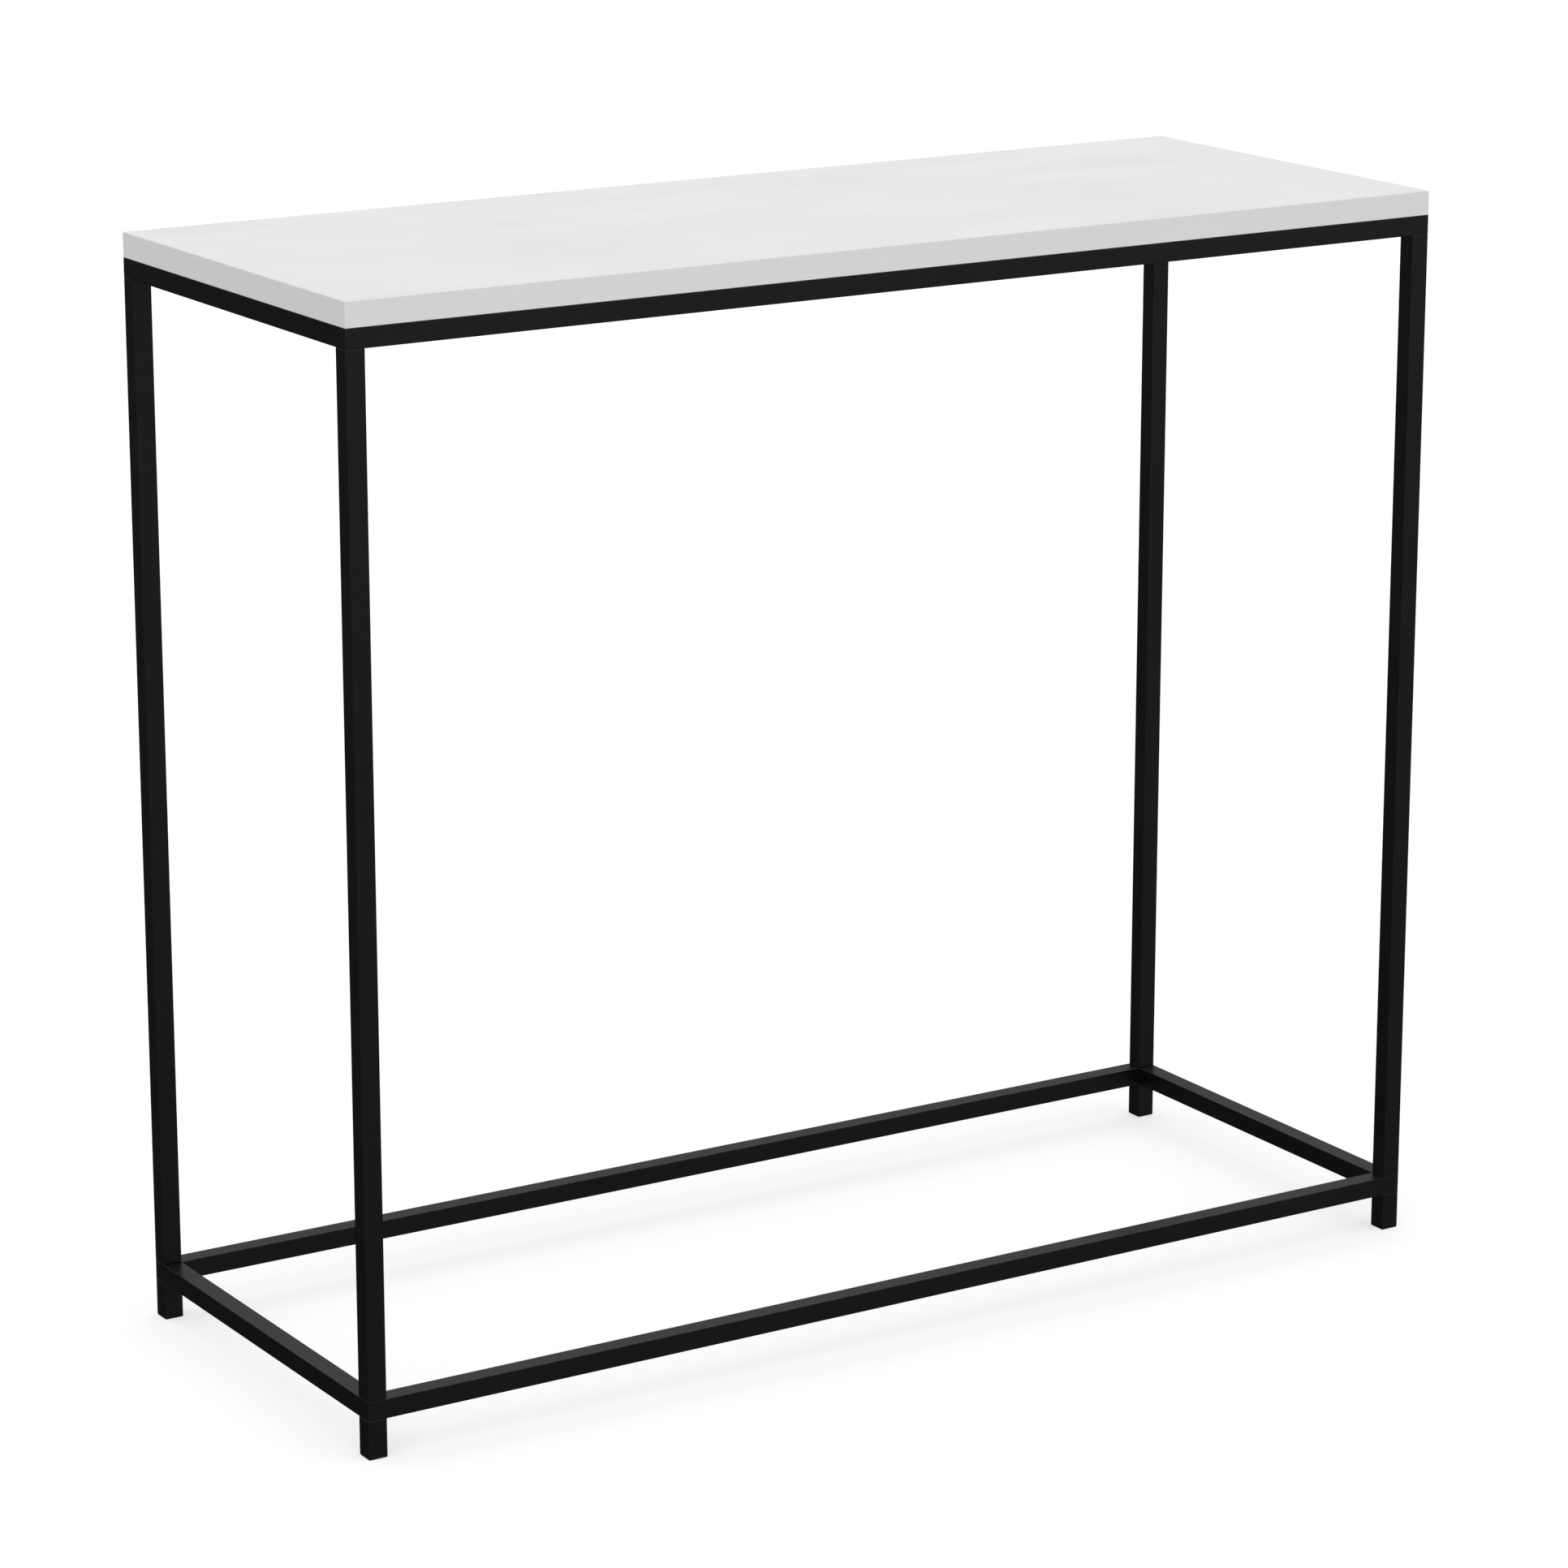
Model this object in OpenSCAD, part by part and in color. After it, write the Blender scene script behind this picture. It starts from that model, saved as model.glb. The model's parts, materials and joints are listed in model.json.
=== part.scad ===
// Console table: a white laminated board on a knock-down frame of black square tube.
// Origin: centre of the footprint, on the floor. +X runs along the long side, -Y is the front, +Z is up.
// The frame is two mitred, welded rings. A leg stands between them at each corner and is bolted
// through both rings. Short feet are welded under the lower ring and closed by plastic glides.

/* [Table] */
// Length of the table, along X
table_w = 800; // [500:10:1200]
// Depth of the table, along Y
table_d = 300; // [200:10:450]
// Height from the floor to the top surface
table_h = 720; // [450:10:950]

/* [Top board] */
// Full thickness of the top board
board_t = 16; // [15:1:25]
// Thickness of the edge bands
band_t = 1; // [0.8:0.1:2]
// Thickness of the laminate on each face of the board
laminate_t = 0.5; // [0.4:0.1:1]
// Radius on the outer edges of the board
board_edge_r = 0.4; // [0.2:0.1:0.7]

/* [Frame tube] */
// Outer width of the square tube
tube_s = 12.7; // [12.7:0.1:20]
// Wall thickness of the tube
tube_wall = 1; // [0.8:0.1:1.2]
// Outer corner radius of the tube
tube_r = 0.3; // [0.2:0.1:1.4]
// Radius on the deburred ends of the legs and feet
tube_end_r = 0.5; // [0.1:0.1:0.8]
// Height of the lower ring's underside above the floor
ring_clearance = 25.4; // [20:0.1:60]

/* [Joints in the frame] */
// Length of the threaded block in each end of a leg
block_l = 14; // [12:1:25]
// Thread diameter of the leg bolts
bolt_d = 5; // [4:1:5]
// Length of a leg bolt under its head
bolt_l = 16; // [12:1:16]
// Clearance hole for a leg bolt
bolt_hole_d = 5.5; // [5.3:0.1:6]
// Hole that lets a bolt's head and the driver into the ring
access_hole_d = 10.4; // [10:0.1:10.6]

/* [Top fixings] */
// Length of a fixing tab along its rail
tab_l = 18; // [12:1:30]
// Reach of a fixing tab from its rail
tab_reach = 15; // [12:1:25]
// Thickness of a fixing tab
tab_t = 2; // [1.5:0.5:3]
// Distance of the long rails' tabs from the middle of the table
tab_x = 260; // [50:10:300]
// Length of a top screw under its head
screw_l = 13; // [10:1:14]

/* [Glides] */
// Thickness of a glide's flange, between the foot and the floor
glide_t = 1.2; // [1:0.1:3]
// Length of a glide's plug inside the foot
glide_plug_l = 11; // [8:1:18]

/* [Hidden] */
$fn = 48;

// Corners as [name, side in X, side in Y] and sides as [name, angle from the front]
CORNERS = [["front_left", -1, -1], ["front_right", 1, -1], ["back_left", -1, 1], ["back_right", 1, 1]];
SIDES = [["front", 0], ["right", 90], ["back", 180], ["left", 270]];
// Fixing tabs as [name, angle of their rail, place along the rail]
TABS = [
    ["front_left", 0, -tab_x], ["front_right", 0, tab_x], ["right", 90, 0],
    ["back_right", 180, -tab_x], ["back_left", 180, tab_x], ["left", 270, 0]
];

function named(prefix, list) = [for (entry = list) str(prefix, entry[0])];

// Colours
laminate_white = [0.93, 0.93, 0.93];
band_white = [0.90, 0.90, 0.90];
chipboard_tan = [0.76, 0.64, 0.47];
frame_black = [0.09, 0.09, 0.09];
plastic_black = [0.05, 0.05, 0.05];
zinc_grey = [0.72, 0.73, 0.75];

// Heights
board_z = table_h - board_t;
upper_ring_z = board_z - tube_s;
lower_ring_z = ring_clearance;
leg_z = lower_ring_z + tube_s;
leg_l = upper_ring_z - leg_z;

// Tube
bore_s = tube_s - 2 * tube_wall;
block_edge_r = 0.8;
tapped_hole_d = bolt_d + 0.1;
cut = 1; // how far a cutting shape runs past the face it cuts

// Leg bolts, button head with a hexagon socket, and their split washers
head_d = 1.9 * bolt_d;
head_h = 0.55 * bolt_d;
socket_af = 0.6 * bolt_d;
socket_depth = 0.6 * head_h;
washer_od = 9.2;
washer_id = bolt_d + 0.3;
washer_t = 1.2;
washer_gap = 14;

// Top screws, pan head with a cross recess
screw_d = 3.9;
screw_hole_d = 4;
screw_head_d = 8;
screw_head_h = 2.6;
screw_tip_l = 3;
pilot_spare = 0.5;
tab_hole_d = 4.5;
tab_hole_reach = 8.5;
tab_edge_r = 4;

// Glides
glide_edge = 0.5;
plug_core_s = bore_s - 2;
rib_t = 0.9;
rib_pitch = 2.6;

/* Outlines */

// A rectangle with true arcs at its corners
module rounded_rect(size, r) {
    square([size[0] - 2 * r, size[1]], center = true);
    square([size[0], size[1] - 2 * r], center = true);
    for (x = [-1, 1], y = [-1, 1])
        translate([x * (size[0] / 2 - r), y * (size[1] / 2 - r)])
            circle(r = r);
}

module tube_section() {
    difference() {
        rounded_rect([tube_s, tube_s], tube_r);
        square(bore_s, center = true);
    }
}

// A block standing on z = 0 with one radius on its upright edges and another on all the rest
module rounded_block(size, upright_r, end_r) {
    translate([0, 0, size[2] / 2])
        intersection() {
            linear_extrude(size[2], center = true)
                rounded_rect([size[0], size[1]], upright_r);
            rotate([90, 0, 0])
                linear_extrude(size[1], center = true)
                    rounded_rect([size[0], size[2]], end_r);
            rotate([90, 0, 90])
                linear_extrude(size[0], center = true)
                    rounded_rect([size[1], size[2]], end_r);
        }
}

// A length of tube standing on z = 0, with deburred ends
module upright_tube(length) {
    difference() {
        rounded_block([tube_s, tube_s, length], tube_r, tube_end_r);
        translate([-bore_s / 2, -bore_s / 2, -cut])
            cube([bore_s, bore_s, length + 2 * cut]);
    }
}

// The plan of a rail: mitred at both ends, with the outer corners rounded like the legs'
module rail_plan(length) {
    half = length / 2;
    intersection() {
        polygon([
            [-half, -tube_s / 2], [half, -tube_s / 2],
            [half - tube_s, tube_s / 2], [-half + tube_s, tube_s / 2]
        ]);
        translate([0, 3 * tube_s / 2])
            rounded_rect([length, 4 * tube_s], tube_r);
    }
}

/* Places */

module at_corner(corner, z = 0) {
    x = corner[1] * (table_w - tube_s) / 2;
    y = corner[2] * (table_d - tube_s) / 2;
    translate([x, y, z])
        children();
}

// Turns a front piece, drawn with its outer face on y = 0, to the side of the table at an angle
module at_side(angle, z = 0) {
    depth = angle % 180 == 0 ? table_d : table_w;
    rotate(angle)
        translate([0, -depth / 2, z])
            children();
}

function side_length(angle) = angle % 180 == 0 ? table_w : table_d;

/* Top board */

module board_layer(z, thickness) {
    translate([0, 0, z + thickness / 2])
        cube([table_w - 2 * band_t, table_d - 2 * band_t, thickness], center = true);
}

module pilot_holes(z, depth) {
    for (tab = TABS)
        at_side(tab[1], z)
            translate([tab[2], tube_s + tab_hole_reach])
                cylinder(h = depth, d = screw_hole_d);
}

module board_core() {
    color(chipboard_tan)
        difference() {
            board_layer(board_z + laminate_t, board_t - 2 * laminate_t);
            pilot_holes(board_z - cut, screw_l - tab_t + pilot_spare + cut);
        }
}

module top_laminate() {
    color(laminate_white)
        board_layer(table_h - laminate_t, laminate_t);
}

module underside_laminate() {
    color(laminate_white)
        difference() {
            board_layer(board_z, laminate_t);
            pilot_holes(board_z - cut, laminate_t + 2 * cut);
        }
}

// The long bands run past the ends of the short ones. The board's outer edges are rounded in the bands.
module edge_band(angle) {
    long_side = angle % 180 == 0;
    length = side_length(angle) - (long_side ? 0 : 2 * band_t);
    color(band_white)
        intersection() {
            translate([0, 0, board_z])
                rounded_block([table_w, table_d, board_t], board_edge_r, board_edge_r);
            at_side(angle, board_z)
                translate([-length / 2, 0, 0])
                    cube([length, band_t, board_t]);
        }
}

/* Welded rings */

// One mitred rail. The bolt holes lie on the mitres, so each rail holds half of them:
// a clearance hole in the wall that meets the leg, and an access hole in the other wall.
module rail(angle, z, access_above) {
    length = side_length(angle);
    half = (length - tube_s) / 2;
    color(frame_black)
        at_side(angle, z)
            translate([0, tube_s / 2, tube_s / 2])
                mirror([0, 0, access_above ? 0 : 1])
                    difference() {
                        intersection() {
                            rotate([90, 0, 90])
                                linear_extrude(length, center = true)
                                    tube_section();
                            linear_extrude(tube_s, center = true)
                                rail_plan(length);
                        }
                        for (x = [-half, half])
                            translate([x, 0, 0]) {
                                cylinder(h = tube_s, d = access_hole_d);
                                translate([0, 0, -tube_s])
                                    cylinder(h = tube_s, d = bolt_hole_d);
                            }
                    }
}

/* Legs and feet */

module leg(corner) {
    color(frame_black)
        at_corner(corner, leg_z)
            upright_tube(leg_l);
}

module foot(corner) {
    color(frame_black)
        at_corner(corner, glide_t)
            upright_tube(lower_ring_z - glide_t);
}

// A square flange on the floor, and a plug whose ribs grip inside the foot
module glide(corner) {
    color(plastic_black)
        at_corner(corner) {
            linear_extrude(glide_edge)
                rounded_rect([tube_s - glide_edge, tube_s - glide_edge], tube_r);
            translate([0, 0, glide_edge])
                linear_extrude(glide_t - glide_edge)
                    rounded_rect([tube_s, tube_s], tube_r);
            translate([0, 0, glide_t])
                linear_extrude(glide_plug_l)
                    rounded_rect([plug_core_s, plug_core_s], block_edge_r);
            for (z = [glide_t + rib_pitch : rib_pitch : glide_t + glide_plug_l - rib_t])
                translate([0, 0, z])
                    linear_extrude(rib_t)
                        rounded_rect([bore_s, bore_s], block_edge_r);
        }
}

// Threaded steel block, welded flush into an end of a leg
module leg_block(corner, z) {
    color(zinc_grey)
        at_corner(corner, z)
            difference() {
                linear_extrude(block_l)
                    rounded_rect([bore_s, bore_s], block_edge_r);
                translate([0, 0, -cut])
                    cylinder(h = block_l + 2 * cut, d = tapped_hole_d);
            }
}

/* Fasteners */

// A domed head with its flat face on z = 0, as wide as d and as high as h
module domed_head(d, h) {
    dome_r = (d * d / 4 + h * h) / (2 * h);
    intersection() {
        cylinder(h = h, d = d);
        translate([0, 0, h - dome_r])
            sphere(r = dome_r);
    }
}

// Head up, thread down, with the head's underside on z = 0
module leg_bolt() {
    tip = bolt_d / 6;
    difference() {
        union() {
            domed_head(head_d, head_h);
            translate([0, 0, tip - bolt_l])
                cylinder(h = bolt_l - tip, d = bolt_d);
            translate([0, 0, -bolt_l])
                cylinder(h = tip, d1 = bolt_d - tip, d2 = bolt_d);
        }
        translate([0, 0, head_h - socket_depth])
            cylinder(h = head_h, d = socket_af / cos(30), $fn = 6);
    }
}

module lock_washer() {
    rotate_extrude(angle = 360 - washer_gap)
        translate([washer_id / 2, 0])
            square([(washer_od - washer_id) / 2, washer_t]);
}

// Head down, point up, with the head's upper face on z = 0
module top_screw() {
    recess_w = 1;
    recess_l = 4.4;
    recess_depth = 1.5;
    difference() {
        union() {
            mirror([0, 0, 1])
                domed_head(screw_head_d, screw_head_h);
            cylinder(h = screw_l - screw_tip_l, d = screw_d);
            translate([0, 0, screw_l - screw_tip_l])
                cylinder(h = screw_tip_l, d1 = screw_d, d2 = 0.6);
        }
        for (angle = [0, 90])
            rotate(angle)
                translate([-recess_l / 2, -recess_w / 2, -screw_head_h - cut])
                    cube([recess_l, recess_w, recess_depth + cut]);
    }
}

// The upper bolts go down into the legs, and the lower bolts go up into them
module leg_bolts(z, upper) {
    color(zinc_grey)
        for (corner = CORNERS)
            at_corner(corner, z)
                mirror([0, 0, upper ? 0 : 1])
                    leg_bolt();
}

module lock_washers(z) {
    color(zinc_grey)
        for (corner = CORNERS)
            at_corner(corner, z)
                lock_washer();
}

// A plate welded inside a rail, flush with the rail's top face
module fixing_tab(tab) {
    color(frame_black)
        at_side(tab[1], board_z - tab_t)
            translate([tab[2], tube_s, 0])
                difference() {
                    linear_extrude(tab_t) {
                        translate([-tab_l / 2, 0])
                            square([tab_l, tab_reach - tab_edge_r]);
                        translate([-tab_l / 2 + tab_edge_r, 0])
                            square([tab_l - 2 * tab_edge_r, tab_reach]);
                        for (x = [-1, 1])
                            translate([x * (tab_l / 2 - tab_edge_r), tab_reach - tab_edge_r])
                                circle(r = tab_edge_r);
                    }
                    translate([0, tab_hole_reach, -cut])
                        cylinder(h = tab_t + 2 * cut, d = tab_hole_d);
                }
}

module top_screws() {
    color(zinc_grey)
        for (tab = TABS)
            at_side(tab[1], board_z - tab_t)
                translate([tab[2], tube_s + tab_hole_reach])
                    top_screw();
}

/* Assembly */

upper_head_z = upper_ring_z + tube_wall + washer_t;
lower_head_z = leg_z - tube_wall - washer_t;

board_core();
top_laminate();
underside_laminate();
for (side = SIDES) {
    edge_band(side[1]);
    rail(side[1], upper_ring_z, true);
    rail(side[1], lower_ring_z, false);
}
for (corner = CORNERS) {
    leg(corner);
    foot(corner);
    glide(corner);
    leg_block(corner, leg_z + leg_l - block_l);
    leg_block(corner, leg_z);
}
for (tab = TABS)
    fixing_tab(tab);
leg_bolts(upper_head_z, true);  // upper_leg_bolts
leg_bolts(lower_head_z, false);  // lower_leg_bolts
lock_washers(upper_ring_z + tube_wall);  // upper_lock_washers
lock_washers(lower_head_z);  // lower_lock_washers
top_screws();
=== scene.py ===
"""Looks of the console table: studio, materials, and the weld beads and threads that the CAD leaves out."""

import json
import math
import random

import bmesh
import bpy
from mathutils import Matrix, Vector


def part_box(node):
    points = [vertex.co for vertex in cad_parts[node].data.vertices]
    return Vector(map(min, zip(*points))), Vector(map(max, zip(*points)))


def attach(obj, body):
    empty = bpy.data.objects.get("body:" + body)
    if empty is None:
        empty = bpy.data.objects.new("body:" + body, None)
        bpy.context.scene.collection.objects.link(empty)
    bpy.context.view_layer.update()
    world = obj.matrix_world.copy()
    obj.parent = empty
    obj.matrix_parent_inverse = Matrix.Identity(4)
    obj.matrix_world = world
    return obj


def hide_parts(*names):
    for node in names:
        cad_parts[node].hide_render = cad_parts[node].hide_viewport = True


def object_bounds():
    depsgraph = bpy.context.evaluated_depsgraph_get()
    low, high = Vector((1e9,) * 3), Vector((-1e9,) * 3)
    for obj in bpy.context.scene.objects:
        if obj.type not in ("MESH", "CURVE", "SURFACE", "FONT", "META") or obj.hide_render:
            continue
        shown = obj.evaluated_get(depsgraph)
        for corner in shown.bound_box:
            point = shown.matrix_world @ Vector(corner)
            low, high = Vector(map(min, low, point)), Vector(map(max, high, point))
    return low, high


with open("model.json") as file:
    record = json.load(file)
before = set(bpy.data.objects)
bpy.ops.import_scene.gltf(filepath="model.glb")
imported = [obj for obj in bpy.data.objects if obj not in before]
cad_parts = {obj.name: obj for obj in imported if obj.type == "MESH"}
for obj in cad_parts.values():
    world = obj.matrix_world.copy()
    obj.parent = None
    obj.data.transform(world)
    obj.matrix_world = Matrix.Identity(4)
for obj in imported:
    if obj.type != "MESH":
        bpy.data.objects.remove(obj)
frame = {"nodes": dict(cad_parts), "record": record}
cad_low, cad_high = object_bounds()
centre = (cad_low + cad_high) / 2

MM = 0.001
BODY = "root"
UP = Vector((0, 0, 1))

# Camera
CAMERA_AZIMUTH = -32.04
CAMERA_ELEVATION = 15.02
CAMERA_DISTANCE = 3.507
CAMERA_LENS = 122.3
CAMERA_SENSOR_WIDTH = 36
CAMERA_CLIP = (0.05, 100)
CAMERA_AIM_OFFSET = Vector((-0.0068, -0.0017, -0.0190))

# Studio light as (height, level) stops. A height is the upward part of a direction: -1 is straight down,
# 0 level and 1 straight up. LIGHT is what matt surfaces receive, and GLOSS is what shiny ones mirror.
CEILING_LIGHT = ((0.0, 0.25), (0.3, 0.45), (0.65, 0.84), (1.0, 1.45))
PANEL_LIGHT = ((0.0, 0.7), (0.3, 1.33), (0.65, 0.0))
CEILING_GLOSS = (
    (-1.0, 0.3), (-0.75, 0.0), (-0.25, 0.016), (0.0, 0.005), (0.3, 0.24), (0.65, 0.84), (1.0, 1.55),
)
PANEL_GLOSS = ((-0.7, 0.0), (-0.25, 0.2), (0.0, 0.55), (0.3, 0.6), (0.65, 0.0))
PANEL_AZIMUTH = -20
BRIGHTEST = 2.0
FLOOR_SIZE = 60
FLOOR_WHITE = 0.5
FLOOR_LIFT = 0.55


# ---------------------------------------------------------------- nodes

def add_node(tree, kind, inputs=(), **settings):
    """Adds a node. inputs pairs its sockets with values, or with the outputs that feed them."""
    node = tree.nodes.new(kind)
    for name, value in settings.items():
        setattr(node, name, value)
    for socket, value in dict(inputs).items():
        if isinstance(value, bpy.types.NodeSocket):
            tree.links.new(value, node.inputs[socket])
        else:
            node.inputs[socket].default_value = value
    return node


def add_ramp(tree, value, stops):
    """A colour ramp with stops given as (position, colour)."""
    node = add_node(tree, "ShaderNodeValToRGB", {0: value})
    elements = node.color_ramp.elements
    while len(elements) < len(stops):
        elements.new(1.0)
    for element, (position, colour) in zip(elements, stops):
        element.position = position
        element.color = (*colour, 1)
    return node.outputs["Color"]


def grey(level):
    return (level, level, level)


# ---------------------------------------------------------------- camera and studio

def direction(azimuth, elevation=0.0):
    """Unit vector from the object towards a viewer. Azimuth 0 is in front, at -Y."""
    a, e = math.radians(azimuth), math.radians(elevation)
    return Vector((math.sin(a) * math.cos(e), -math.cos(a) * math.cos(e), math.sin(e)))


def make_camera():
    """A long lens a few metres away, which looks slightly down on the table's front left corner."""
    data = bpy.data.cameras.new("camera")
    data.lens = CAMERA_LENS
    data.sensor_width = CAMERA_SENSOR_WIDTH
    data.clip_start, data.clip_end = CAMERA_CLIP
    camera = bpy.data.objects.new("camera", data)
    bpy.context.scene.collection.objects.link(camera)
    towards = direction(CAMERA_AZIMUTH, CAMERA_ELEVATION)
    camera.location = centre + CAMERA_AIM_OFFSET + towards * CAMERA_DISTANCE
    camera.rotation_mode = "QUATERNION"
    camera.rotation_quaternion = (-towards).to_track_quat("-Z", "Y")
    bpy.context.scene.camera = camera


def vector_math(tree, operation, inputs):
    """The vector that the operation makes."""
    return add_node(tree, "ShaderNodeVectorMath", inputs, operation=operation).outputs[0]


def light_by_height(tree, climb, stops):
    """Light as a share of the brightest. climb runs from 0, straight down, to 1, straight up."""
    return add_ramp(tree, climb, [((height + 1) / 2, grey(level / BRIGHTEST)) for height, level in stops])


def room_light(tree, climb, facing, ceiling_stops, panel_stops):
    """Light from each direction: the ceiling's, and the panel's by how far the direction faces it."""
    ceiling = light_by_height(tree, climb, ceiling_stops)
    panel = light_by_height(tree, climb, panel_stops)
    panel = vector_math(tree, "SCALE", {0: panel, "Scale": facing})
    return vector_math(tree, "ADD", {0: ceiling, 1: panel})


def make_world():
    """A soft room: light from the ceiling, and a broad panel of light in front, a little to the left.

    Reflections see a dimmer panel that reaches below the horizon. The camera sees plain white.
    """
    world = bpy.data.worlds.new("studio")
    world.use_nodes = True
    # Only rays from a surface find the light, so that each one is known to be matt or glossy.
    world.cycles.sampling_method = "NONE"
    bpy.context.scene.world = world
    tree = world.node_tree
    ray = add_node(tree, "ShaderNodeTexCoord").outputs["Generated"]
    height = add_node(tree, "ShaderNodeSeparateXYZ", {0: ray}).outputs["Z"]
    climb = add_node(tree, "ShaderNodeMapRange", {0: height, "From Min": -1.0}).outputs[0]
    level_ray = vector_math(tree, "MULTIPLY", {0: ray, 1: (1, 1, 0)})
    level_ray = vector_math(tree, "NORMALIZE", {0: level_ray})
    cosine = add_node(
        tree, "ShaderNodeVectorMath", {0: level_ray, 1: direction(PANEL_AZIMUTH)}, operation="DOT_PRODUCT",
    ).outputs["Value"]
    facing = add_node(tree, "ShaderNodeMapRange", {0: cosine, "From Min": -1.0}).outputs[0]
    matt = room_light(tree, climb, facing, CEILING_LIGHT, PANEL_LIGHT)
    gloss = room_light(tree, climb, facing, CEILING_GLOSS, PANEL_GLOSS)
    rays = add_node(tree, "ShaderNodeLightPath").outputs
    light = add_node(tree, "ShaderNodeMix", {0: rays["Is Glossy Ray"], 2: matt, 3: gloss}).outputs[0]
    room = add_node(tree, "ShaderNodeBackground", {"Color": light, "Strength": BRIGHTEST})
    white = tree.nodes["Background"]
    white.inputs["Color"].default_value = (1, 1, 1, 1)
    seen = {0: rays["Is Camera Ray"], 1: room.outputs[0], 2: white.outputs[0]}
    mixed = add_node(tree, "ShaderNodeMixShader", seen)
    tree.links.new(mixed.outputs[0], tree.nodes["World Output"].inputs["Surface"])


def make_floor():
    """A plain white floor. The camera sees it a little lifted, so that only soft contact shadows stay."""
    bpy.ops.mesh.primitive_plane_add(size=FLOOR_SIZE, location=(centre.x, centre.y, cad_low.z))
    floor = bpy.context.object
    floor.name = "floor"
    floor.visible_glossy = False
    paper = bpy.data.materials.new("floor_paper")
    paper.use_nodes = True
    tree = paper.node_tree
    shader = tree.nodes["Principled BSDF"]
    shader.inputs["Base Color"].default_value = (*grey(FLOOR_WHITE), 1)
    shader.inputs["Roughness"].default_value = 0.9
    shader.inputs["Specular IOR Level"].default_value = 0.0
    shader.inputs["Emission Color"].default_value = (1, 1, 1, 1)
    seen = add_node(tree, "ShaderNodeLightPath").outputs["Is Camera Ray"]
    lift = add_node(tree, "ShaderNodeMath", {0: seen, 1: FLOOR_LIFT}, operation="MULTIPLY").outputs[0]
    tree.links.new(lift, shader.inputs["Emission Strength"])
    floor.data.materials.append(paper)


# ---------------------------------------------------------------- materials

class Finish:
    """A Principled material whose colour, roughness and relief come from noise in the table's own frame."""

    def __init__(self, name, metallic=0.0, specular=0.5):
        self.material = bpy.data.materials.new(name)
        self.material.use_nodes = True
        self.tree = self.material.node_tree
        self.shader = self.tree.nodes["Principled BSDF"]
        self.shader.inputs["Metallic"].default_value = metallic
        self.shader.inputs["Specular IOR Level"].default_value = specular
        self.place = add_node(self.tree, "ShaderNodeTexCoord").outputs["Object"]
        self.normal = None

    def stretched(self, stretch):
        """The place, with what is made from it drawn out along each axis by that factor."""
        scale = [1 / s for s in stretch]
        return add_node(self.tree, "ShaderNodeMapping", {0: self.place, "Scale": scale}).outputs[0]

    def noise(self, size, detail=2.0, stretch=(1, 1, 1), offset=0.0):
        """Noise from 0 to 1 whose features are about size metres wide. Each offset is another pattern."""
        return add_node(
            self.tree, "ShaderNodeTexNoise",
            {"Vector": self.stretched(stretch), "W": offset, "Scale": 1 / size, "Detail": detail},
            noise_dimensions="4D",
        ).outputs["Fac"]

    def cells(self, size, stretch=(1, 1, 1), feature="F1"):
        """A node of Voronoi cells about size metres wide."""
        return add_node(
            self.tree, "ShaderNodeTexVoronoi",
            {"Vector": self.stretched(stretch), "Scale": 1 / size}, feature=feature,
        )

    def blend(self, a, b, share):
        """The share of b mixed into a."""
        return add_node(self.tree, "ShaderNodeMix", {0: share, 2: a, 3: b}).outputs[0]

    def colour(self, value, stops):
        """Base colour from a ramp over the value."""
        ramp = add_ramp(self.tree, value, stops)
        self.tree.links.new(ramp, self.shader.inputs["Base Color"])

    def roughness(self, value, low, high):
        """Roughness from low to high over the middle of a noise's range."""
        mapped = add_node(
            self.tree, "ShaderNodeMapRange",
            {0: value, "From Min": 0.3, "From Max": 0.7, "To Min": low, "To Max": high},
        )
        self.tree.links.new(mapped.outputs[0], self.shader.inputs["Roughness"])

    def relief(self, value, depth):
        """Adds relief of that depth in metres on top of any before it."""
        inputs = {"Height": value, "Distance": depth, "Strength": 1.0}
        if self.normal is not None:
            inputs["Normal"] = self.normal
        self.normal = add_node(self.tree, "ShaderNodeBump", inputs).outputs[0]
        self.tree.links.new(self.normal, self.shader.inputs["Normal"])


def white_laminate():
    """Melamine sheet: a fine pearl texture, and gloss that varies a little where it was wiped."""
    finish = Finish("white_laminate", specular=0.45)
    pearl = finish.noise(1.1 * MM, detail=3)
    cloud = finish.noise(160 * MM, detail=4)
    finish.colour(finish.blend(pearl, cloud, 0.6), [(0.3, grey(0.812)), (0.7, grey(0.848))])
    finish.roughness(finish.noise(45 * MM, detail=5, stretch=(3, 1, 1)), 0.42, 0.54)
    finish.relief(pearl, 0.022 * MM)
    finish.relief(finish.noise(9 * MM, offset=4.0), 0.03 * MM)
    return finish.material


def white_edge_band():
    """Plastic strip: drawn lines along its length, and fine pores."""
    finish = Finish("white_edge_band", specular=0.45)
    lines = finish.noise(0.9 * MM, detail=4, stretch=(60, 60, 1))
    pores = finish.noise(0.5 * MM, detail=2)
    cloud = finish.noise(120 * MM, detail=3, offset=2.0)
    # Painted shade: the band's white is set below the laminate's, which darkens the board's upright sides
    # beyond what the light does.
    finish.colour(finish.blend(lines, cloud, 0.5), [(0.3, grey(0.733)), (0.7, grey(0.762))])
    finish.roughness(finish.blend(lines, pores, 0.4), 0.40, 0.52)
    finish.relief(lines, 0.014 * MM)
    finish.relief(pores, 0.008 * MM)
    return finish.material


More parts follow.
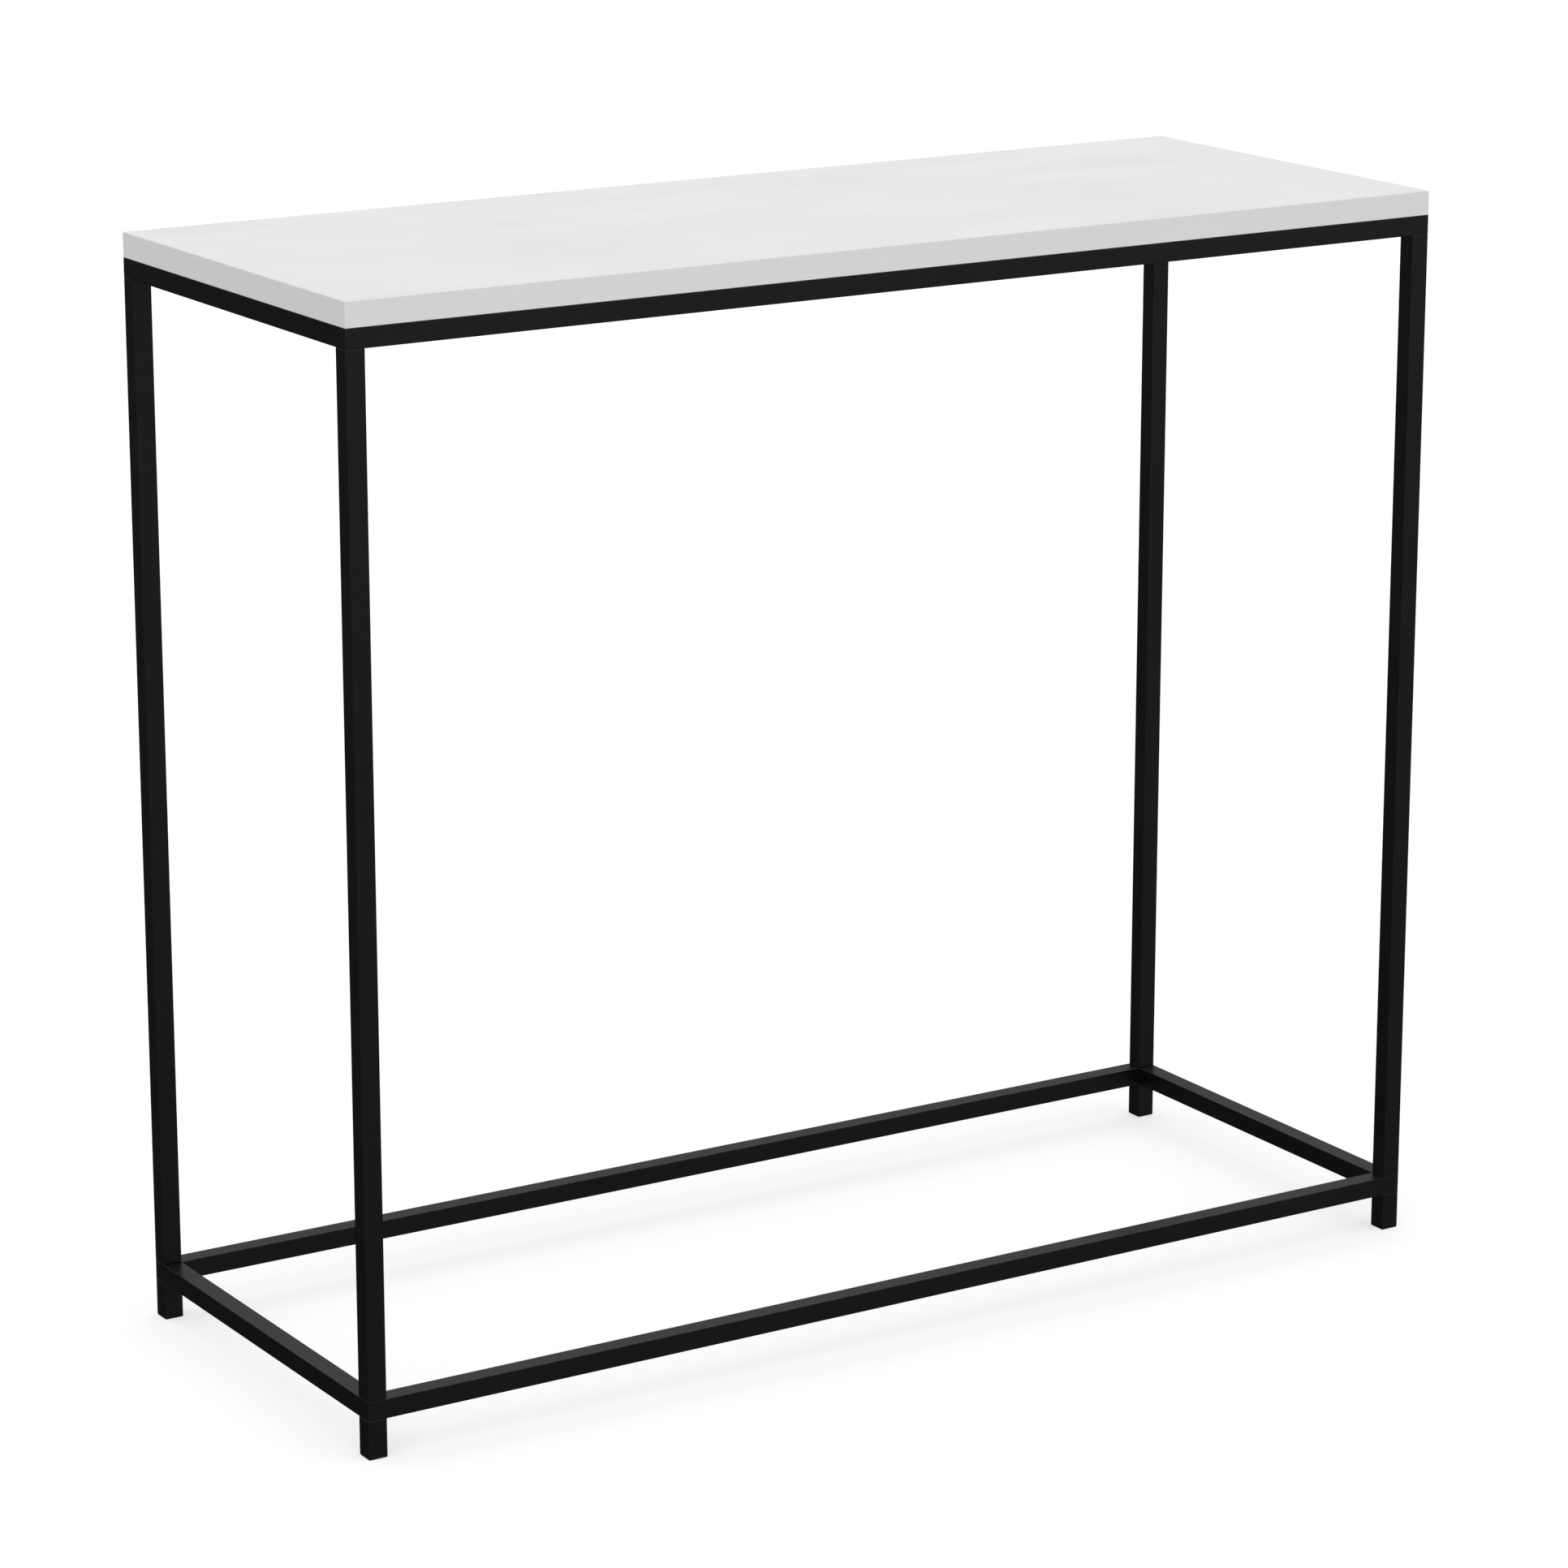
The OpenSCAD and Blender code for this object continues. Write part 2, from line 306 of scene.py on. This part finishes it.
def black_powder_coat():
    """Satin powder coat: orange peel over a finer grain, with cloudy gloss and slightly uneven black."""
    finish = Finish("black_powder_coat")
    peel = finish.noise(2.4 * MM, detail=1.5)
    grain = finish.noise(0.45 * MM, detail=3, offset=3.0)
    cloud = finish.noise(70 * MM, detail=4, offset=6.0)
    finish.colour(finish.blend(grain, cloud, 0.5), [(0.3, grey(0.0014)), (0.7, grey(0.0024))])
    finish.roughness(finish.blend(cloud, grain, 0.35), 0.27, 0.35)
    finish.relief(peel, 0.075 * MM)
    finish.relief(grain, 0.006 * MM)
    return finish.material


def black_nylon():
    """Moulded nylon: a spark-eroded grain, rubbed paler in places."""
    finish = Finish("black_nylon", specular=0.25)
    grain = finish.cells(0.35 * MM, feature="SMOOTH_F1").outputs["Distance"]
    rubbed = finish.noise(4 * MM, detail=4)
    finish.colour(rubbed, [(0.35, grey(0.009)), (0.75, grey(0.022))])
    finish.roughness(rubbed, 0.48, 0.62)
    finish.relief(grain, 0.03 * MM)
    return finish.material


def zinc_plated_steel():
    """Bright zinc with a clear passivate: a cool base with warmer patches, and rubbing marks."""
    finish = Finish("zinc_plated_steel", metallic=1.0)
    patches = finish.noise(3.5 * MM, detail=3)
    marks = finish.noise(0.25 * MM, detail=4, stretch=(1, 6, 2))
    finish.colour(patches, [
        (0.30, (0.47, 0.50, 0.54)),
        (0.50, (0.60, 0.61, 0.62)),
        (0.62, (0.63, 0.61, 0.54)),
        (0.75, (0.54, 0.56, 0.60)),
    ])
    finish.roughness(finish.blend(patches, marks, 0.6), 0.24, 0.44)
    finish.relief(marks, 0.006 * MM)
    return finish.material


def plain_steel():
    """Sawn bar: grey mill finish with saw lines across it and a trace of oil."""
    finish = Finish("plain_steel", metallic=1.0)
    saw = finish.noise(0.5 * MM, detail=4, stretch=(1, 1, 12))
    oil = finish.noise(5 * MM, detail=3, offset=1.0)
    finish.colour(finish.blend(saw, oil, 0.5), [(0.3, (0.24, 0.235, 0.23)), (0.7, (0.44, 0.43, 0.42))])
    finish.roughness(finish.blend(oil, saw, 0.5), 0.30, 0.52)
    finish.relief(saw, 0.012 * MM)
    return finish.material


def chipboard():
    """Pressed wood chips: flat flakes of several browns, with dark resin between them."""
    finish = Finish("chipboard", specular=0.3)
    flakes = finish.cells(3.2 * MM, stretch=(1.6, 1.6, 0.35))
    tone = add_node(finish.tree, "ShaderNodeSeparateColor", {0: flakes.outputs["Color"]}).outputs[0]
    fibre = finish.noise(0.4 * MM, detail=5, stretch=(6, 1, 1))
    finish.colour(finish.blend(tone, fibre, 0.35), [
        (0.15, (0.19, 0.11, 0.055)),
        (0.40, (0.43, 0.29, 0.15)),
        (0.65, (0.58, 0.42, 0.24)),
        (0.90, (0.68, 0.53, 0.33)),
    ])
    finish.roughness(fibre, 0.75, 0.92)
    finish.relief(flakes.outputs["Distance"], 0.12 * MM)
    finish.relief(fibre, 0.05 * MM)
    return finish.material


FINISHES = (
    white_laminate, white_edge_band, chipboard, black_powder_coat,
    black_nylon, plain_steel, zinc_plated_steel,
)
MATERIALS = {make.__name__: make() for make in FINISHES}


def finish_cad_nodes():
    """Each CAD node gets the material of its slot in the record."""
    for subpart in frame["record"]["subparts"]:
        node = frame["nodes"][subpart["node"]]
        node.data.materials.clear()
        node.data.materials.append(MATERIALS[subpart["material_slot"]])


# ---------------------------------------------------------------- mesh helpers

def add_piece(name, bm, slot, replaces=()):
    """Turns a bmesh, given in metres, into a piece of the table with the material of its slot."""
    bmesh.ops.recalc_face_normals(bm, faces=bm.faces)
    mesh = bpy.data.meshes.new(name)
    bm.to_mesh(mesh)
    bm.free()
    mesh.materials.append(MATERIALS[slot])
    mesh.shade_smooth()
    mesh.set_sharp_from_angle(angle=math.radians(35))
    piece = bpy.data.objects.new(name, mesh)
    bpy.context.scene.collection.objects.link(piece)
    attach(piece, BODY)
    if replaces:
        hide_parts(*replaces)


def add_ring(bm, place, points):
    """Vertices at the points, which are given in the place's own frame."""
    return [bm.verts.new(place @ Vector(point)) for point in points]


def bridge(bm, rings):
    """Quads between each closed ring and the next; all have the same length."""
    for ring_a, ring_b in zip(rings, rings[1:]):
        for i in range(len(ring_a)):
            j = (i + 1) % len(ring_a)
            bm.faces.new((ring_a[i], ring_a[j], ring_b[j], ring_b[i]))


def fan(bm, ring, point):
    """Triangles from a closed ring to one point."""
    tip = bm.verts.new(point)
    for i in range(len(ring)):
        bm.faces.new((tip, ring[i], ring[(i + 1) % len(ring)]))


# ---------------------------------------------------------------- welds

# A bead's leg is how far it reaches along each wall. WELD_RIPPLE_DEPTH and WELD_END_SIZE are shares of it,
# and WELD_RIPPLE_SCATTER is a share of WELD_RIPPLE, the distance between ripples.
WELD_STEP = 0.25 * MM
WELD_RIPPLE = 1.1 * MM
WELD_RIPPLE_DEPTH = 0.12
WELD_RIPPLE_SCATTER = 0.05
WELD_END_SIZE = 0.15
WELD_END_BLUNTNESS = 6
WELD_ARC_STEP = 15
WELD_SINK = 0.12 * MM
TAB_WELD_LEG = 2.0 * MM
TAB_WELD_MARGIN = 1.2 * MM
FOOT_WELD_LEG = 0.9 * MM
FOOT_WELD_MARGIN = 0.3 * MM
FIXING_TAB = "fixing_tab_"
AZIMUTHS = {"front": 0, "right": 90, "back": 180, "left": 270}
OUTWARD = {side: direction(azimuth) for side, azimuth in AZIMUTHS.items()}
CORNERS = {"front_left": (-1, -1), "front_right": (1, -1), "back_left": (-1, 1), "back_right": (1, 1)}


def add_bead(bm, start, end, wall_a, wall_b, leg, rng):
    """A fillet weld from start to end, in the corner between two walls.

    wall_a and wall_b point along the walls, away from the corner. The bead swells in ripples where the
    weld pool set, and tapers at both ends.
    """
    length = (end - start).length
    along = (end - start).normalized()
    steps = round(length / WELD_STEP)
    arc = [math.radians(angle) for angle in range(0, 91, WELD_ARC_STEP)]
    rings = []
    for step in range(steps + 1):
        share = step / steps
        swelling = (1 - abs(2 * share - 1) ** WELD_END_BLUNTNESS) ** 0.5
        taper = WELD_END_SIZE + (1 - WELD_END_SIZE) * swelling
        scatter = rng.uniform(-WELD_RIPPLE_SCATTER, WELD_RIPPLE_SCATTER)
        ripple = abs(math.sin(math.pi * (share * length / WELD_RIPPLE + scatter)))
        size = leg * taper * (1 - WELD_RIPPLE_DEPTH + WELD_RIPPLE_DEPTH * ripple)
        spot = start + along * (share * length)
        root = spot - (wall_a + wall_b) * WELD_SINK
        points = [root, root + wall_a * (size + WELD_SINK)]
        points += [spot + (wall_a * math.cos(a) + wall_b * math.sin(a)) * size for a in arc]
        points.append(root + wall_b * (size + WELD_SINK))
        rings.append([bm.verts.new(point) for point in points])
    bridge(bm, rings)
    bm.faces.new(rings[0])
    bm.faces.new(rings[-1])


def fixing_tabs():
    """Each fixing tab as (name, outward direction, middle, half size)."""
    for node in frame["nodes"]:
        if node.startswith(FIXING_TAB):
            name = node.removeprefix(FIXING_TAB)
            low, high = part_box(node)
            yield name, OUTWARD[name.split("_")[0]], (low + high) / 2, (high - low) / 2


def weld_tabs(rng):
    """One bead under each fixing tab, where it meets the inside of its rail."""
    for name, out, middle, half_size in fixing_tabs():
        along = UP.cross(out)
        corner = middle + out * abs(out.dot(half_size)) - UP * half_size.z
        reach = along * (abs(along.dot(half_size)) - TAB_WELD_MARGIN)
        bm = bmesh.new()
        add_bead(bm, corner - reach, corner + reach, -out, -UP, TAB_WELD_LEG, rng)
        add_piece(f"tab_weld_{name}", bm, "black_powder_coat")


def weld_feet(rng):
    """Small beads where each foot's two inner faces meet the lower ring."""
    for name, (side_x, side_y) in CORNERS.items():
        inward = (Vector((-side_x, 0, 0)), Vector((0, -side_y, 0)))
        low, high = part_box(f"foot_{name}")
        width = high.x - low.x
        corner = (low + high) / 2 + sum(inward, Vector()) * width / 2
        corner.z = high.z
        bm = bmesh.new()
        for away, across in (inward, inward[::-1]):
            start = corner - across * FOOT_WELD_MARGIN
            end = corner - across * (width - FOOT_WELD_MARGIN)
            add_bead(bm, start, end, away, -UP, FOOT_WELD_LEG, rng)
        add_piece(f"foot_weld_{name}", bm, "black_powder_coat")


# ---------------------------------------------------------------- threaded fasteners

# ROOT is the radius between the threads. THREAD is one turn's section as pairs: a share of the pitch, and a
# share of the thread's height over the root. MOUTH is the radius of the round edge about a recess.
AROUND = 36
HEAD_EDGE = 0.3 * MM
DOME_STEPS = 7

BOLT_LENGTH = 16 * MM
BOLT_RADIUS = 2.5 * MM
BOLT_ROOT = 2.02 * MM
BOLT_PITCH = 0.8 * MM
BOLT_THREAD = ((0.0, 0), (0.38, 1), (0.52, 1), (0.9, 0))
BOLT_CHAMFER = 0.4 * MM
BOLT_MOUTH = 1.83 * MM
SOCKET_HALF_WIDTH = 1.5 * MM
SOCKET_DEPTH = 1.65 * MM

SCREW_LENGTH = 13 * MM
SCREW_RADIUS = 1.95 * MM
SCREW_ROOT = 1.25 * MM
SCREW_PITCH = 1.6 * MM
SCREW_THREAD = ((0.0, 0), (0.55, 0), (0.72, 1), (0.78, 1), (0.95, 0))
SCREW_TIP = 3.2 * MM
SCREW_TIP_NARROWEST = 0.12
SCREW_POINT = 0.3 * MM
SCREW_HEAD_WIDTH = 8 * MM
SCREW_MOUTH = 2.53 * MM
RECESS_REACH = 2.2 * MM
RECESS_HALF_WIDTH = 0.5 * MM
RECESS_DEPTH = 1.5 * MM
RECESS_FLOOR = 0.45


def circle(radius, z):
    """Points of a ring. radius is a length, or a function of the angle."""
    angles = [2 * math.pi * i / AROUND for i in range(AROUND)]
    radii = [radius(angle) if callable(radius) else radius for angle in angles]
    return [(r * math.cos(angle), r * math.sin(angle), z) for r, angle in zip(radii, angles)]


def hexagon(half_width):
    """Radius of a hexagon as a function of the angle."""
    def radius(angle):
        return half_width / math.cos((angle + math.pi / 6) % (math.pi / 3) - math.pi / 6)
    return radius


def cross(reach, half_width):
    """Radius of a cross-shaped recess as a function of the angle."""
    def radius(angle):
        off_arm = abs((angle + math.pi / 4) % (math.pi / 2) - math.pi / 4)
        return min(reach / math.cos(off_arm), half_width / max(math.sin(off_arm), 1e-6))
    return radius


def add_head(bm, place, width, height, mouth, recess, floor_share, depth):
    """A domed head on z = 0 with a recess in it. Returns the ring at the outer edge of its underside.

    recess gives the recess's radius at each angle, and floor_share is how much of that its floor keeps.
    The floor sinks to a shallow point in the middle.
    """
    edge = width / 2
    dome = (edge ** 2 + height ** 2) / (2 * height)
    lowest = math.sqrt(dome ** 2 - edge ** 2)

    def dome_z(radius):
        rise = (math.sqrt(dome ** 2 - radius ** 2) - lowest) / (dome - lowest)
        return HEAD_EDGE + (height - HEAD_EDGE) * rise

    shares = [math.sin(math.pi / 2 * i / DOME_STEPS) for i in range(DOME_STEPS + 1)]
    radii = [mouth + (edge - mouth) * share for share in shares]
    rings = [add_ring(bm, place, points) for points in (
        circle(lambda angle: recess(angle) * floor_share, height - depth),
        circle(recess, dome_z(mouth) - HEAD_EDGE / 2),
        *(circle(radius, dome_z(radius)) for radius in radii),
        circle(edge, HEAD_EDGE / 2),
        circle(edge - HEAD_EDGE / 2, 0),
    )]
    bridge(bm, rings)
    fan(bm, rings[0], place @ Vector((0, 0, height - depth - HEAD_EDGE)))
    return rings[-1]


def add_neck(bm, place, edge, flare, root, length):
    """The head's underside and the plain neck below it. Returns the neck's lower ring."""
    steps = ((flare, 0), (root, -length / 3), (root, -length))
    rings = [edge] + [add_ring(bm, place, circle(radius, z)) for radius, z in steps]
    bridge(bm, rings)
    return rings[-1]


def add_thread(bm, place, top_ring, top, bottom, pitch, section, radius_at):
    """A helical thread that runs down from top_ring. Returns its flat bottom ring.

    radius_at(z, rise) is the radius at that height, where rise is a share of the thread's height.
    """
    turns = int((top - bottom) / pitch) - 1
    lead = ((top - bottom) - pitch * (turns + 1)) / 2
    per_turn = len(section)
    last = AROUND - 1
    rows = []
    # A row follows one corner of the section through one turn. The row per_turn later goes on from it.
    for k in range(turns * per_turn + 1):
        share, rise = section[k % per_turn]
        points = []
        for i in range(AROUND):
            z = bottom + lead + pitch * (k // per_turn + share + i / AROUND)
            angle = 2 * math.pi * i / AROUND
            radius = radius_at(z, rise)
            points.append((radius * math.cos(angle), radius * math.sin(angle), z))
        rows.append(add_ring(bm, place, points))
    for k in range(len(rows) - 1):
        for i in range(last):
            bm.faces.new((rows[k][i], rows[k][i + 1], rows[k + 1][i + 1], rows[k + 1][i]))
        above = k + per_turn
        if above + 1 < len(rows):
            bm.faces.new((rows[k][last], rows[above][0], rows[above + 1][0], rows[k + 1][last]))
    bottom_ring = add_ring(bm, place, circle(radius_at(bottom, 0), bottom))
    for i in range(last):
        bm.faces.new((bottom_ring[i], bottom_ring[i + 1], rows[0][i + 1], rows[0][i]))
        bm.faces.new((rows[-1][i], rows[-1][i + 1], top_ring[i + 1], top_ring[i]))
    # The step that the helix leaves at either end is one face.
    first_turn = [row[0] for row in rows[:per_turn + 1]]
    bm.faces.new((bottom_ring[last], bottom_ring[0], *first_turn, rows[0][last]))
    last_turn = [row[last] for row in rows[:-per_turn - 1:-1]]
    bm.faces.new((rows[-1 - per_turn][last], rows[-1][0], top_ring[0], top_ring[last], *last_turn))
    return bottom_ring


def run_in(z, top, bottom, length):
    """0 at either end of a thread, rising to 1 at that length from it."""
    return max(0.0, min(1.0, (top - z) / length, (z - bottom) / length))


def add_bolt(bm, place, head_width, head_height):
    """A button-head bolt with a hexagon socket: head up, thread down, underside of the head on z = 0."""
    socket = hexagon(SOCKET_HALF_WIDTH)
    edge = add_head(bm, place, head_width, head_height, BOLT_MOUTH, socket, 1.0, SOCKET_DEPTH)
    top = -BOLT_PITCH
    bottom = BOLT_CHAMFER - BOLT_LENGTH
    neck = add_neck(bm, place, edge, BOLT_ROOT + HEAD_EDGE / 2, BOLT_ROOT, -top)

    def radius_at(z, rise):
        return BOLT_ROOT + (BOLT_RADIUS - BOLT_ROOT) * rise * run_in(z, top, bottom, BOLT_PITCH / 2)

    end = add_thread(bm, place, neck, top, bottom, BOLT_PITCH, BOLT_THREAD, radius_at)
    cap = add_ring(bm, place, circle(BOLT_ROOT - BOLT_CHAMFER / 2, -BOLT_LENGTH))
    bridge(bm, [end, cap])
    bm.faces.new(cap)


def add_screw(bm, place, head_height):
    """A pan-head screw with a cross recess: head up, point down, underside of the head on z = 0."""
    recess = cross(RECESS_REACH, RECESS_HALF_WIDTH)
    edge = add_head(
        bm, place, SCREW_HEAD_WIDTH, head_height, SCREW_MOUTH, recess, RECESS_FLOOR, RECESS_DEPTH,
    )
    top = -SCREW_PITCH * 3 / 4
    bottom = SCREW_POINT - SCREW_LENGTH
    neck = add_neck(bm, place, edge, SCREW_RADIUS, SCREW_ROOT, -top)

    def radius_at(z, rise):
        up_the_tip = min(1.0, (z + SCREW_LENGTH) / SCREW_TIP)
        narrowing = SCREW_TIP_NARROWEST + (1 - SCREW_TIP_NARROWEST) * up_the_tip
        crest = (SCREW_RADIUS - SCREW_ROOT) * rise * run_in(z, top, bottom, SCREW_PITCH / 2)
        return (SCREW_ROOT + crest) * narrowing

    end = add_thread(bm, place, neck, top, bottom, SCREW_PITCH, SCREW_THREAD, radius_at)
    fan(bm, end, place @ Vector((0, 0, -SCREW_LENGTH)))


def spun(spot, rng, head_up):
    """A fastener's place, turned by chance about its own axis, as it was when it came tight."""
    flip = Matrix.Identity(4) if head_up else Matrix.Rotation(math.pi, 4, "X")
    return Matrix.Translation(spot) @ flip @ Matrix.Rotation(rng.uniform(0, 2 * math.pi), 4, "Z")


def make_bolts(rng):
    """The four bolts of each ring as one piece, as in the CAD, on the axes of the feet."""
    for node, head_up in (("upper_leg_bolts", True), ("lower_leg_bolts", False)):
        low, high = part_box(node)
        underside = low.z + BOLT_LENGTH if head_up else high.z - BOLT_LENGTH
        head_height = high.z - low.z - BOLT_LENGTH
        bm = bmesh.new()
        for corner in CORNERS:
            foot_low, foot_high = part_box(f"foot_{corner}")
            spot = (foot_low + foot_high) / 2
            spot.z = underside
            head_width = 2 * (high.x - abs(spot.x))
            add_bolt(bm, spun(spot, rng, head_up), head_width, head_height)
        add_piece(f"threaded_{node}", bm, "zinc_plated_steel", replaces=(node,))


def make_screws(rng):
    """The six screws that hold the board, through the holes in the fixing tabs."""
    low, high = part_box("top_screws")
    head_height = high.z - low.z - SCREW_LENGTH
    inset = cad_high.x - (high.x - SCREW_HEAD_WIDTH / 2)
    bm = bmesh.new()
    for _, out, middle, _ in fixing_tabs():
        outer_face = abs(out.dot(cad_high - centre))
        spot = middle + out * (outer_face - inset - out.dot(middle - centre))
        spot.z = high.z - SCREW_LENGTH
        add_screw(bm, spun(spot, rng, head_up=False), head_height)
    add_piece("threaded_top_screws", bm, "zinc_plated_steel", replaces=("top_screws",))


# ---------------------------------------------------------------- scene

make_camera()
make_world()
make_floor()
bpy.context.scene.view_settings.view_transform = "Standard"

finish_cad_nodes()
chance = random.Random(7)
weld_tabs(chance)
weld_feet(chance)
make_bolts(chance)
make_screws(chance)
